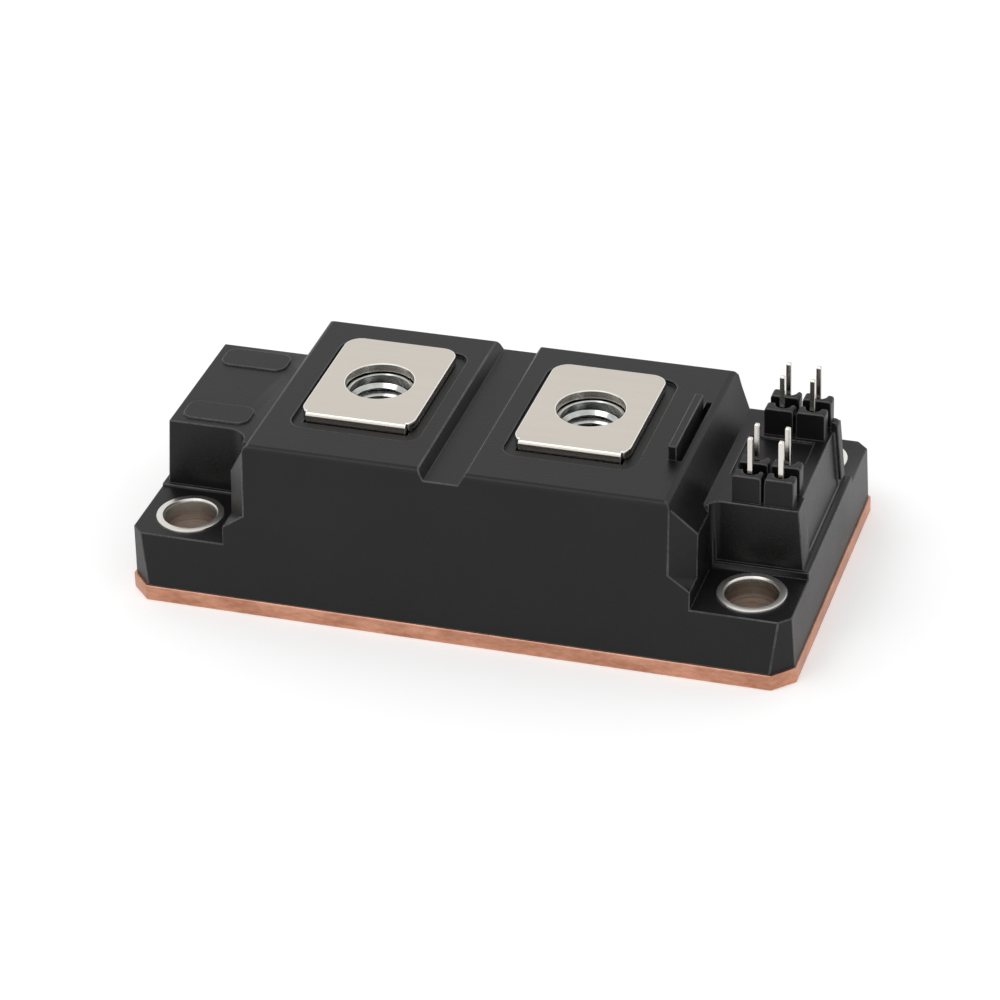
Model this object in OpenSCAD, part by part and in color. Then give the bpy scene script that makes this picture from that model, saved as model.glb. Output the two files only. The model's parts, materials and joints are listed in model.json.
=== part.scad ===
// Power transistor module: a copper base plate under a moulded housing, with two
// screw terminals over captive nuts, eight control pins and four mounting sleeves.
// Millimetres. X runs along the module, Y to its back, Z up. The origin is the
// middle of the base plate's underside.

/* [Base plate] */
// Length of the base plate
plate_l = 110; // [106:0.5:120]
// Width of the base plate
plate_w = 58.6; // [56:0.2:64]
// Thickness of the base plate
plate_t = 2.7; // [2:0.1:5]
// Cut across each corner of the base plate
plate_chamfer = 3.3; // [1:0.1:5]

/* [Mounting holes] */
// Distance from the base plate's end to its mounting holes
hole_inset_x = 8.5; // [7.8:0.1:9.5]
// Distance from the base plate's side to its mounting holes
hole_inset_y = 8.5; // [8:0.1:8.8]
// Bore of the sleeves and the base plate, for an M8 screw
bore_d = 8.4; // [6.4:0.1:9]
// Outer diameter of a sleeve's tube
sleeve_d = 10; // [9.8:0.1:10.4]
// Diameter of a sleeve's flange
flange_d = 11; // [10.6:0.1:11.2]
// Thickness of a sleeve's flange
flange_t = 0.9; // [0.5:0.1:2]
// Height of the flange above the ear's floor
flange_proud = 0.3; // [0:0.1:0.8]

/* [Housing] */
// Gap from the edge of the base plate to the foot of the housing
seat_inset = 0.35; // [0.1:0.05:1]
// Height of the four ears' floors
ear_z = 11.8; // [10:0.1:13]
// Slope of the front and back walls, as a run for each unit of height
front_draft = 0.12; // [0.04:0.01:0.14]
// Slope of the end walls
end_draft = 0.045; // [0.02:0.005:0.1]
// Thickness of the housing's side walls
wall = 2.4; // [1.5:0.1:3]
// Thickness of the low blocks' side walls
low_wall = 1.1; // [0.8:0.05:1.1]
// Thickness of the housing's top under the terminals
top_wall = 3.1; // [2.2:0.1:3.5]
// Radius of the tall block's top edges
edge_r = 1.2; // [0.4:0.1:2]

/* [Tall block] */
// Length of each ear, from the base plate's end to the tall block
ear_l = 16.6; // [16:0.1:17]
// Run of the sloping shoulder at each end
shoulder_run = 4.1; // [2.4:0.1:4.6]
// Height of the tall block
tall_z = 29.3; // [28:0.1:32]
// Height at which the end shoulders begin to slope in
shoulder_z = 22.2; // [20:0.1:24]
// Depth of the low shelf, from the base plate's back to the tall block's top
shelf_d = 12.7; // [9.3:0.1:14.3]
// Height of the low shelf behind the tall block
shelf_z = 16.2; // [15:0.1:18]
// Width of the channel between the two terminals, at its floor
channel_w = 5.6; // [4:0.1:6.5]
// Depth of the channel
channel_depth = 1.75; // [0.5:0.05:2.2]
// Position of the channel's middle
channel_x = -1.9; // [-2.4:0.1:-1.2]
// Run of the channel's sloped sides
channel_slope = 1.0; // [0.2:0.1:1.2]
// Length along the front of each cut corner
corner_l = 3.6; // [2:0.1:3.9]
// Depth of each cut corner
corner_d = 4.4; // [2:0.1:6]
// Height at which the cut corners end, at the tall block's front
corner_z = 17.2; // [16:0.1:19]
// Drop of the cut corners' foot towards the ends
corner_drop = 2.4; // [1:0.1:3]

/* [Low blocks] */
// Height of the left block
left_z = 24.1; // [23:0.1:25]
// Distance from the base plate's side to the left block
left_inset = 16.4; // [15.8:0.1:17.3]
// Radius in the corners between the left block and the tall block
left_fillet = 3.5; // [1:0.1:4]
// Height of the pin block's floor
pin_block_z = 23.7; // [22.5:0.1:24.5]
// Distance from the base plate's side to the pin block
pin_block_inset = 14.9; // [14.5:0.05:15.1]
// Radius in the corners between the pin block and the tall block
pin_block_fillet = 1.6; // [0.5:0.1:1.8]
// Step from the housing's end to the foot of each low block
end_step = 0.95; // [0.3:0.05:1.2]
// Slope of the low blocks' end walls
block_draft = 0.08; // [0.02:0.01:0.1]
// Width of the pin block's plinth
plinth_out = 0.6; // [0.2:0.1:0.8]
// Height of the pin block's plinth above the ears
plinth_h = 1.2; // [0.4:0.1:2]

/* [Left block pads] */
// Length of a raised pad
pad_l = 11.4; // [8:0.1:12]
// Width of a raised pad
pad_w = 5.4; // [3:0.1:6]
// Corner radius of a raised pad
pad_r = 1.9; // [0.5:0.1:2.5]
// Height of a raised pad
pad_h = 0.3; // [0.1:0.05:1]
// Gap from the block's sides to the pads
pad_side_gap = 1.4; // [0.8:0.1:3.2]
// Gap from the block's end to the pads
pad_end_gap = 1.4; // [0.8:0.1:2]

/* [Terminals] */
// Shift of the left terminal from the middle of its half of the top
left_terminal_shift = 0.5; // [-0.4:0.1:1.4]
// Shift of the right terminal from the middle of its half of the top
right_terminal_shift = -0.8; // [-1.2:0.05:-0.2]
// Distance from the base plate's front to the terminals' holes
terminal_inset = 26.6; // [25.8:0.1:27.3]
// Width of a terminal
terminal_w = 18.9; // [17:0.1:20]
// Reach of a terminal in front of its hole
terminal_front = 12.4; // [11.8:0.1:13]
// Reach of a terminal behind its hole
terminal_back = 12.7; // [11:0.1:14]
// Thickness of the terminal sheet
terminal_t = 1.4; // [1:0.1:1.6]
// Height of the terminals above the tall block
terminal_proud = 1.0; // [0.6:0.1:1.5]
// Hole in a terminal, for an M10 screw
terminal_hole_d = 11.1; // [10.4:0.1:12]
// Corner radius at the back of a terminal
terminal_corner_r = 2.7; // [1:0.1:4]
// Outer radius of the terminal's bends
bend_r = 0.7; // [0.4:0.1:1.2]
// Inset of the folded tongue from each side of the terminal
tongue_inset = 1.1; // [0.5:0.1:3]
// Step back of the terminal's front corners from the bend
corner_step = 0.1; // [0.1:0.1:1]
// Corner radius at the front of a terminal
front_corner_r = 0.5; // [0.2:0.1:1]
// Length of the terminal's foot
foot_l = 5; // [3:0.1:5.6]
// Depth of the recess around a terminal
recess_depth = 0.6; // [0.4:0.1:1.4]
// Gap between a terminal and the left side of its recess
recess_left = 1.0; // [0.4:0.1:1.4]
// Gap between a terminal and the right side of its recess
recess_right = 1.6; // [0.6:0.1:1.8]
// Gap between a terminal and the front of its recess
recess_front = 2.8; // [1:0.1:4]
// Gap between a terminal and the back of its recess
recess_back = 0.6; // [0.3:0.1:2]
// Corner radius of the recess
recess_r = 2.6; // [1:0.1:4]

/* [Terminal nuts] */
// Width across the flats of an M10 nut
nut_af = 16; // [15:0.5:17]
// Height of the nut
nut_h = 8; // [7:0.1:8.4]
// Minor diameter of the nut's M10 thread
nut_bore_d = 8.5; // [8.4:0.05:8.7]
// Diameter of the nut's countersink
nut_sink_d = 10.2; // [10:0.1:11]
// Gap between the nut and the terminal
nut_gap = 0.7; // [0.4:0.1:1.5]
// Depth of the free space under the nut, for the screw's end
screw_sump = 4; // [2:0.1:4.5]

/* [Latch rib] */
// Distance from the tall block's top edge to the rib's middle
rib_inset = 2.4; // [2.2:0.1:3]
// Width of the rib
rib_w = 1.4; // [1:0.1:1.8]
// Length of the rib
rib_l = 16.6; // [10:0.1:20]
// Shift of the rib's middle to the front of the terminals' holes
rib_shift = 2.3; // [0:0.1:3]
// Height of the rib above the tall block
rib_h = 2.5; // [0.3:0.1:3]
// Width of the slot beside the rib
rib_slot_w = 0.9; // [0.6:0.1:1.4]
// Depth of the slot beside the rib
rib_slot_depth = 1.8; // [0.5:0.1:2.6]
// Length of the slot behind the rib
rib_slot_back = 2.0; // [0.5:0.1:3]

/* [Control pins] */
// Thickness of a square control pin
pin_t = 0.8; // [0.5:0.05:0.9]
// Height of the front pins' tips
front_tip_z = 34.8; // [32:0.1:38]
// Height of the back pins' tips
back_tip_z = 34.0; // [32:0.1:38]
// Distance between the pin columns
pin_pitch_x = 4.9; // [4.8:0.1:5.2]
// Distance between the two pin rows of a group
pin_pitch_y = 4.3; // [4:0.1:4.6]
// Distance from the pin block's front to the front group's middle
front_group_inset = 4.1; // [3.8:0.1:5]
// Distance from the pin block's back to the back group's middle
back_group_inset = 3.75; // [3.7:0.05:5]
// Length of a key block
key_w = 4.7; // [4:0.1:4.8]
// Gap between the columns of key blocks
key_gap = 0.5; // [0.3:0.1:0.8]
// Gap from the key blocks to the end of the pin block's floor
key_end_gap = 0.95; // [0.5:0.05:1.1]
// Depth of a key block
key_d = 2.2; // [1.6:0.1:2.6]
// Height of a key block above the floor
key_h = 4.7; // [2:0.1:6]
// Web of the key block in front of its pin
key_web = 0.9; // [0.6:0.1:1.2]
// Radius of a key block's top edges
key_edge_r = 0.5; // [0.2:0.1:1]
// Radius of the notch that each pin stands in
key_notch_r = 1.3; // [0.8:0.1:1.8]
// Length of the pins' solder feet
pin_foot_l = 1.6; // [1.2:0.1:1.9]
// Length of the pad under each foot
pin_pad_l = 2.6; // [1.6:0.1:2.8]

/* [Pin block details] */
// Depth of the sunken panel between the pin groups
panel_depth = 0.4; // [0.1:0.1:1]
// Depth of the shallow recess in the pin block's end wall
end_recess_depth = 0.3; // [0.1:0.1:0.5]
// Distance from the pin block's sides to the end wall's recess
end_recess_inset = 4.4; // [4:0.1:9]
// Distance from the pin block's back to the clip rib
clip_inset = 3.4; // [2.4:0.1:3.5]
// Thickness of the clip rib
clip_t = 1.6; // [0.6:0.1:1.8]
// Reach of the clip rib out of the wall
clip_out = 0.55; // [0.3:0.05:1.4]
// Height of the clip rib's top
clip_z = 25.5; // [24:0.1:28]
// Height of the clip rib's foot
clip_foot_z = 15.0; // [14:0.1:18]

/* [Substrates] */
// Gap from a main substrate to the end wall of the tall block
sub_end_gap = 2.25; // [1.5:0.25:3]
// Gap from a main substrate to the front wall
sub_side_gap = 3.3; // [2.8:0.1:3.8]
// Gap between the two main substrates
sub_gap = 3.5; // [2:0.1:4.5]
// Thickness of the ceramic
ceramic_t = 0.6; // [0.3:0.05:1]
// Thickness of the copper layers
copper_t = 0.3; // [0.2:0.05:0.4]
// Thickness of the solder under the substrates
solder_t = 0.2; // [0.1:0.05:0.3]
// Margin from the ceramic's edge to the copper
copper_margin = 0.75; // [0.3:0.05:1]
// Gap between neighbouring tracks
track_gap = 0.8; // [0.4:0.1:1]
// Depth of the pads that the terminals stand on
foot_pad_d = 7; // [6.6:0.1:7.4]
// Depth of the emitter track
emitter_d = 3; // [2:0.1:3.2]
// Width of the gate and sense tracks
signal_w = 2; // [1.2:0.1:2.2]
// Width of the neck that joins the collector areas
neck_w = 2.6; // [1.5:0.1:3]
// Length of the control substrate
control_l = 13.6; // [12:0.1:13.8]
// Gap from the control substrate to the pin block's side walls
control_side_gap = 1.0; // [0.8:0.1:2.3]

/* [Chips] */
// Side of a transistor chip
igbt_a = 11; // [9:0.5:11.5]
// Side of a diode chip
diode_a = 8; // [6:0.5:8]
// Thickness of the chips
chip_t = 0.2; // [0.1:0.05:0.4]
// Thickness of the solder under the chips
chip_solder_t = 0.1; // [0.05:0.05:0.2]
// Gap from the gate wire's pad to the side of the control substrate
bond_inset = 3.7; // [3:0.1:4]
// Distance between the gate wire's pad and the sense wire's
bond_pitch = 2.4; // [1.8:0.1:2.6]
// Gap between a diode and its transistor
chip_gap = 1.2; // [0.6:0.1:1.5]
// Diameter of the bond wires
wire_d = 0.4; // [0.2:0.05:0.5]
// Number of bond wires from chip to chip
wires_per_chip = 4; // [2:1:5]
// Distance between neighbouring bond wires
wire_pitch = 1.6; // [1:0.1:1.6]

/* [Filling] */
// Height of the gel over the base plate's underside
gel_z = 12.4; // [11.6:0.1:12.8]
// Width of the adhesive bead under the housing
bead_w = 1.0; // [0.5:0.1:1.2]
// Height of the adhesive bead
bead_h = 0.6; // [0.3:0.1:1]
// Gap from the housing's foot edge to the bead
bead_inset = 0.65; // [0.4:0.05:1]

/* [Fits] */
// Clearance around a sleeve in its ear
sleeve_gap = 0.05; // [0.02:0.01:0.2]
// Clearance around a nut in its pocket
nut_clear = 0.15; // [0.05:0.05:0.4]
// Clearance around a terminal's tongue in its slot
tongue_clear = 0.3; // [0.1:0.05:0.5]
// Clearance around a control pin
pin_clear = 0.06; // [0.02:0.01:0.2]

/* [Hidden] */
$fn = 64;
// Overrun of a cut past the face that it leaves
over = 1;
// Extra radius that makes a round edge cross its flanks instead of just touching them
round_slack = 0.003;

black = [0.13, 0.13, 0.14];
copper = [0.80, 0.53, 0.42];
nickel = [0.82, 0.80, 0.76];
ceramic_white = [0.93, 0.93, 0.91];
silicon_grey = [0.42, 0.44, 0.50];
solder_grey = [0.66, 0.67, 0.69];
gel_clear = [0.80, 0.86, 0.88];

// Heights of the layers over the base plate
backing_z = plate_t + solder_t;
ceramic_z = backing_z + copper_t;
track_z = ceramic_z + ceramic_t;
track_top = track_z + copper_t;
chip_z = track_top + chip_solder_t;
chip_top = chip_z + chip_t;
wire_r = wire_d / 2;
wire_foot_l = 2.4 * wire_d;
wire_foot_w = 1.4 * wire_d;
wire_foot_t = 0.6 * wire_d;

// Half the tall block's lengths, and the ceilings of the three inner spaces
tall_x = plate_l / 2 - ear_l;
tall_top_x = tall_x - shoulder_run;
tall_back_y = plate_w / 2 - shelf_d;
left_w = plate_w - 2 * left_inset;
pin_block_w = plate_w - 2 * pin_block_inset;
hole_x = plate_l / 2 - hole_inset_x;
hole_y = plate_w / 2 - hole_inset_y;
ceiling_z = tall_z - recess_depth - top_wall;
shelf_ceiling_z = shelf_z - wall;
low_ceiling_z = pin_block_z - wall;
draft_angle = atan(front_draft);

// Front wall's and end wall's distance from the middle at a height z
function front_at(z) = plate_w / 2 - seat_inset - front_draft * (z - plate_t);
function end_at(z) = plate_l / 2 - seat_inset - end_draft * (z - plate_t);
// End wall of the low blocks at a height z
function block_end_at(z) = end_at(ear_z) - end_step - block_draft * (z - ear_z);

// Places of the rib and the terminals, from the rims of the channel between them
channel_rim = channel_w / 2 + channel_slope;
rib_x = tall_top_x - rib_inset;
terminal_y = terminal_inset - plate_w / 2;
left_terminal_x = (channel_x - channel_rim - tall_top_x) / 2 + left_terminal_shift;
right_terminal_x = (channel_x + channel_rim + rib_x - rib_w / 2) / 2 + right_terminal_shift;
rib_front = terminal_y - rib_shift - rib_l / 2;
rib_back = rib_front + rib_l;

// Terminal heights
terminal_top = tall_z + terminal_proud;
recess_z = tall_z - recess_depth;
nut_top = terminal_top - terminal_t - nut_gap;
nut_z = nut_top - nut_h;
tongue_w = terminal_w - 2 * tongue_inset;
tongue_y = terminal_y - terminal_front;
well_wall = 1.6;
well_x = nut_af / 2 / cos(30) + nut_clear + well_wall;
well_y = nut_af / 2 + nut_clear + well_wall;
well_z = nut_z - screw_sump - well_wall;

// Inner space of the housing
cavity_x = tall_x - wall;
cavity_front = front_at(ceiling_z) - wall;
cavity_back = tall_back_y - wall;
cavity_corner = corner_d / 2;
// Its sloping ends run level with the shoulders
shoulder_slope = shoulder_run / (tall_z - shoulder_z);
slope_wall = wall * sqrt(1 + shoulder_slope * shoulder_slope);
cavity_top_x = tall_top_x + shoulder_slope * (tall_z - ceiling_z) - slope_wall;
cavity_shoulder_z = tall_z - (cavity_x + slope_wall - tall_top_x) / shoulder_slope;
arm_left_y = left_w / 2 - low_wall;
arm_right_y = pin_block_w / 2 - low_wall;
arm_x = block_end_at(low_ceiling_z) - low_wall;

// Key blocks and pins, counted from the pin block's end
outer_key_x = block_end_at(pin_block_z) - key_end_gap - key_w / 2;
inner_key_x = outer_key_x - key_w - key_gap;
outer_pin_x = outer_key_x;
inner_pin_x = outer_pin_x - pin_pitch_x;
front_group_y = front_group_inset - pin_block_w / 2;
back_group_y = pin_block_w / 2 - back_group_inset;
key_top = pin_block_z + key_h;
pin_ys = [front_group_y - pin_pitch_y / 2, front_group_y + pin_pitch_y / 2,
          back_group_y - pin_pitch_y / 2, back_group_y + pin_pitch_y / 2];
pin_spots = [for (y = pin_ys, x = [inner_pin_x, outer_pin_x]) [x, y]];

// Substrate layout across the module, from the front
sub_l = cavity_x - sub_gap / 2 - sub_end_gap;
sub_w = 2 * (cavity_front - sub_side_gap);
sub_x = (sub_gap + sub_l) / 2;
track_x = sub_l / 2 - copper_margin;
chip_pitch = track_x;
pad_y0 = -sub_w / 2 + copper_margin;
pad_y1 = pad_y0 + foot_pad_d;
emitter_y0 = pad_y1 + track_gap;
emitter_y1 = emitter_y0 + emitter_d;
collector_y0 = emitter_y1 + track_gap;
sense_y1 = sub_w / 2 - copper_margin;
sense_y0 = sense_y1 - signal_w;
gate_y1 = sense_y0 - track_gap;
gate_y0 = gate_y1 - signal_w;
collector_y1 = gate_y0 - track_gap;
diode_y = collector_y0 + track_gap + diode_a / 2;
igbt_y = diode_y + diode_a / 2 + chip_gap + igbt_a / 2;

// Control substrate, with its end beside the inner space's end wall
control_x1 = arm_x - 0.4;
control_x0 = control_x1 - control_l;
bond_pad_x = control_x0 + 1.2;
control_w = 2 * (arm_right_y - control_side_gap);
gate_bond_y = control_w / 2 - bond_inset;
sense_bond_y = gate_bond_y - bond_pitch;
link_reach = 1.7;
// Highest points of the bond wires over the main substrates
link_loop = (sub_gap + 2 * copper_margin + link_reach) / 2;
wire_top = chip_top + wire_foot_t + max(link_loop, (sense_y0 - igbt_y) / 2) + wire_d;

// ---- shared shapes ----

// Rectangle with its corners cut off at 45 degrees
module cut_rectangle(l, w, c) {
    polygon([[c - l / 2, -w / 2], [l / 2 - c, -w / 2], [l / 2, c - w / 2], [l / 2, w / 2 - c],
             [l / 2 - c, w / 2], [c - l / 2, w / 2], [-l / 2, w / 2 - c], [-l / 2, c - w / 2]]);
}

// Rectangle with round corners
module round_rectangle(l, w, r) {
    square([l - 2 * r, w], center = true);
    square([l, w - 2 * r], center = true);
    for (sx = [-1, 1], sy = [-1, 1])
        translate([sx * (l / 2 - r), sy * (w / 2 - r)]) circle(r);
}

// What a round edge of radius r takes off a profile's corner p, between the
// neighbouring corners a and b
module round_off(p, a, b, r) {
    u = (a - p) / norm(a - p);
    v = (b - p) / norm(b - p);
    half = acos(u * v) / 2;
    bisector = (u + v) / norm(u + v);
    centre = p + bisector * r / sin(half);
    t = r / tan(half);
    difference() {
        polygon([p - bisector * over / 5, p + u * t, centre, p + v * t]);
        translate(centre) circle(r + round_slack);
    }
}

// Profile in X and Z drawn out along Y, from y0 to y1
module along_y(y0, y1) {
    translate([0, y1, 0]) rotate([90, 0, 0]) linear_extrude(y1 - y0) children();
}

// Profile in Y and Z drawn out along X, from x0 to x1
module along_x(x0, x1) {
    translate([x0, 0, 0]) rotate([90, 0, 90]) linear_extrude(x1 - x0) children();
}

// Box between two corners
module block(a, b) {
    translate(a) cube(b - a);
}

// Places its child at the four mounting holes
module at_holes() {
    for (sx = [-1, 1], sy = [-1, 1])
        translate([sx * hole_x, sy * hole_y, 0]) children();
}

// Concave corner fill of radius r, for a corner that opens towards +X and +Y
module fillet(r, z0, z1) {
    translate([0, 0, z0]) linear_extrude(z1 - z0) difference() {
        translate([-over, -over]) square(r + over);
        translate([r, r]) circle(r);
    }
}

// ---- base plate ----

module base_plate() {
    color(copper) difference() {
        linear_extrude(plate_t) cut_rectangle(plate_l, plate_w, plate_chamfer);
        at_holes() translate([0, 0, -over]) cylinder(h = plate_t + 2 * over, d = bore_d);
    }
}

// ---- housing ----

// Low body that carries the ears
module housing_foot() {
    intersection() {
        translate([0, 0, plate_t]) linear_extrude(ear_z - plate_t)
            cut_rectangle(plate_l - 2 * seat_inset, plate_w - 2 * seat_inset, plate_chamfer);
        along_y(-plate_w, plate_w)
            polygon([[-end_at(plate_t), plate_t], [-end_at(ear_z), ear_z],
                     [end_at(ear_z), ear_z], [end_at(plate_t), plate_t]]);
        along_x(-plate_l, plate_l)
            polygon([[-front_at(plate_t), plate_t], [-front_at(ear_z), ear_z],
                     [front_at(ear_z), ear_z], [front_at(plate_t), plate_t]]);
    }
}

// Tall block from the side, with the low shelf behind it
module tall_side() {
    foot = [-front_at(plate_t), plate_t];
    front_top = [-front_at(tall_z), tall_z];
    back_top = [tall_back_y, tall_z];
    back_foot = [tall_back_y + front_draft * (tall_z - shelf_z), shelf_z];
    shelf_edge = [front_at(shelf_z), shelf_z];
    back = [front_at(plate_t), plate_t];
    difference() {
        polygon([foot, front_top, back_top, back_foot, shelf_edge, back]);
        round_off(front_top, foot, back_top, edge_r);
        round_off(back_top, front_top, back_foot, edge_r);
        round_off(shelf_edge, back_foot, back, edge_r);
    }
}

// Tall block from the front, with its sloping shoulders and the channel
module tall_front() {
    shoulder = [tall_x, shoulder_z];
    top = [tall_top_x, tall_z];
    channel_z = tall_z - channel_depth;
    difference() {
        polygon([[-tall_x, plate_t], [-tall_x, shoulder_z], [-tall_top_x, tall_z],
                 top, shoulder, [tall_x, plate_t]]);
        for (s = [0, 1]) mirror([s, 0]) round_off(top, shoulder, [0, tall_z], edge_r);
        translate([channel_x, 0])
            polygon([[-channel_rim, tall_z], [-channel_w / 2, channel_z],
                     [channel_w / 2, channel_z], [channel_rim, tall_z],
                     [channel_rim, tall_z + over], [-channel_rim, tall_z + over]]);
    }
}

// Cut across the tall block's right front corner, leaning back with the wall whose
// foot lies at -y and z
module corner_cut(y, z) {
    x = tall_x - corner_l;
    translate([0, -y, z]) rotate([-draft_angle, 0, 0]) translate([0, 0, -z]) linear_extrude(2 * tall_z)
        polygon([[x - corner_l, -corner_d], [x + corner_l, corner_d],
                 [x + 2 * corner_l, corner_d], [x + 2 * corner_l, -corner_d]]);
}

module tall_block() {
    back_y = tall_back_y + front_draft * (tall_z - shelf_z);
    x = tall_x - corner_l;
    difference() {
        intersection() {
            along_x(-tall_x, tall_x) tall_side();
            along_y(-plate_w, plate_w) tall_front();
        }
        for (s = [0, 1]) mirror([s, 0, 0]) {
            // the front cuts end in a foot that drops towards the ends
            intersection() {
                corner_cut(front_at(corner_z), corner_z);
                along_y(-plate_w, plate_w)
                    polygon([[x - corner_l, corner_z + corner_drop],
                             [x + 2 * corner_l, corner_z - 2 * corner_drop],
                             [x + 2 * corner_l, 2 * tall_z], [x - corner_l, 2 * tall_z]]);
            }
            // the back cuts end on the shelf
            mirror([0, 1, 0]) intersection() {
                corner_cut(back_y, shelf_z);
                block([0, -plate_w, shelf_z], [plate_l, 0, 2 * tall_z]);
            }
        }
    }
}

// Low block at the right end, of width w and height top, from the ears up
module low_block(w, top) {
    z0 = ear_z - over;
    along_y(-w / 2, w / 2)
        polygon([[tall_top_x - over, z0], [block_end_at(z0), z0], [block_end_at(top), top],
                 [tall_top_x - over, top]]);
}

// Concave corner between a low block's front and the tall block
module low_fillet(w, r, top) {
    mirror([0, 1, 0]) translate([tall_x, w / 2, 0]) fillet(r, ear_z, top);
}

// Plinth round a low block's foot, of height h
module plinth(w, h) {
    z1 = ear_z + h;
    along_y(-w / 2 - plinth_out, w / 2 + plinth_out)
        polygon([[tall_top_x, ear_z - over], [end_at(ear_z - over), ear_z - over],
                 [end_at(z1), z1], [tall_top_x, z1]]);
}

module left_block() {
    pad_y = (left_w - pad_w) / 2 - pad_side_gap;
    mirror([1, 0, 0]) {
        low_block(left_w, left_z);
        low_fillet(left_w, left_fillet, left_z);
        plinth(left_w, plinth_h / 3);
        for (s = [-1, 1])
            translate([block_end_at(left_z) - pad_end_gap - pad_l / 2, s * pad_y, left_z - over])
                linear_extrude(pad_h + over) round_rectangle(pad_l, pad_w, pad_r);
    }
}

// Key block with a notch at its back, where the pin at x and y stands. The block's
// middle lies at key_x.
module key_block(x, y, key_x) {
    // the notch's curve clears the pin hole's corners
    hole = pin_t / 2 + 2 * pin_clear;
    notch_y = y + sqrt(key_notch_r * key_notch_r - hole * hole) - hole;
    front_y = y - hole - key_web;
    side = [key_w / 2, pin_block_z];
    corner = [key_w / 2, key_top];
    difference() {
        translate([key_x, 0, 0]) along_y(front_y, front_y + key_d) difference() {
            translate([-key_w / 2, pin_block_z - over]) square([key_w, key_h + over]);
            for (s = [0, 1]) mirror([s, 0]) round_off(corner, [0, key_top], side, key_edge_r);
        }
        translate([x, notch_y, pin_block_z]) cylinder(h = key_h + over, r = key_notch_r);
    }
}

module pin_block() {
    panel_y = pin_pitch_y / 2 + key_d;
    end_recess_y = pin_block_w / 2 - end_recess_inset;
    difference() {
        union() {
            low_block(pin_block_w, pin_block_z);
            low_fillet(pin_block_w, pin_block_fillet, pin_block_z);
            plinth(pin_block_w, plinth_h);
        }
        // sunken panel between the two groups of key blocks
        block([tall_x + over, front_group_y + panel_y, pin_block_z - panel_depth],
              [outer_pin_x + pin_t, back_group_y - panel_y, pin_block_z + over]);
        // shallow recess in the end wall
        z0 = ear_z + plinth_h + over;
        along_y(-end_recess_y, end_recess_y)
            polygon([[block_end_at(z0) - end_recess_depth, z0],
                     [block_end_at(pin_block_z + over) - end_recess_depth, pin_block_z + over],
                     [block_end_at(z0) + over, pin_block_z + over], [block_end_at(z0) + over, z0]]);
    }
    for (y = pin_ys) {
        key_block(inner_pin_x, y, inner_key_x);
        key_block(outer_pin_x, y, outer_key_x);
    }
    clip_rib();
}

// Upright clip rib that follows the end wall and stands over it with a round corner
module clip_rib() {
    y = pin_block_w / 2 - clip_inset;
    x_in = block_end_at(clip_z) - 0.6;
    foot = [block_end_at(clip_foot_z) + clip_out, clip_foot_z];
    corner = [block_end_at(clip_z) + clip_out, clip_z];
    top = [x_in, clip_z];
    along_y(y - clip_t / 2, y + clip_t / 2) difference() {
        polygon([[x_in, clip_foot_z], foot, corner, top]);
        round_off(corner, foot, top, clip_t / 2);
    }
}

// Recess, tongue slot and nut pocket of one terminal
module terminal_cuts() {
    w = terminal_w + recess_left + recess_right;
    d = terminal_front + terminal_back + recess_front + recess_back;
    translate([(recess_right - recess_left) / 2,
               (terminal_back + recess_back - terminal_front - recess_front) / 2, recess_z])
        linear_extrude(recess_depth + over) round_rectangle(w, d, recess_r);
    block([-tongue_w / 2 - tongue_clear, -terminal_front - tongue_clear, ceiling_z - over],
          [tongue_w / 2 + tongue_clear, -terminal_front + terminal_t + tongue_clear, recess_z + over]);
    translate([0, 0, nut_z]) cylinder(h = recess_z - nut_z + over, r = nut_af / 2 / cos(30) + nut_clear, $fn = 6);
    translate([0, 0, nut_z - screw_sump]) cylinder(h = screw_sump + over, d = nut_sink_d);
}

// Inner space: the middle, the low part behind it and an arm at each end
module cavity() {
    z0 = plate_t - over;
    intersection() {
        translate([0, (cavity_back - cavity_front) / 2, z0]) linear_extrude(ceiling_z - z0)
            cut_rectangle(2 * cavity_x, cavity_front + cavity_back, cavity_corner);
        along_y(-cavity_front - over, cavity_back + over)
            polygon([[-cavity_x - over, z0 - over], [-cavity_x - over, cavity_shoulder_z - over / shoulder_slope],
                     [-cavity_top_x, ceiling_z], [cavity_top_x, ceiling_z],
                     [cavity_x + over, cavity_shoulder_z - over / shoulder_slope], [cavity_x + over, z0 - over]]);
    }
    block([-cavity_x, 0, z0], [cavity_x, cavity_front, shelf_ceiling_z]);
    block([-arm_x, -arm_left_y, z0], [0, arm_left_y, low_ceiling_z]);
    block([0, -arm_right_y, z0], [arm_x, arm_right_y, low_ceiling_z]);
}

// Slot on the outer side of the latch rib
module latch_slot() {
    x0 = rib_x + rib_w / 2;
    block([x0, rib_front, tall_z - rib_slot_depth], [x0 + rib_slot_w, rib_back + rib_slot_back, tall_z + over]);
}

module latch_rib() {
    block([rib_x - rib_w / 2, rib_front, ceiling_z + over], [rib_x + rib_w / 2, rib_back, tall_z + rib_h]);
}

// Solid round the nuts in the inner space
module nut_wells() {
    for (x = [left_terminal_x, right_terminal_x])
        block([x - well_x, terminal_y - well_y, well_z], [x + well_x, terminal_y + well_y, tall_z]);
}

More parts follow.
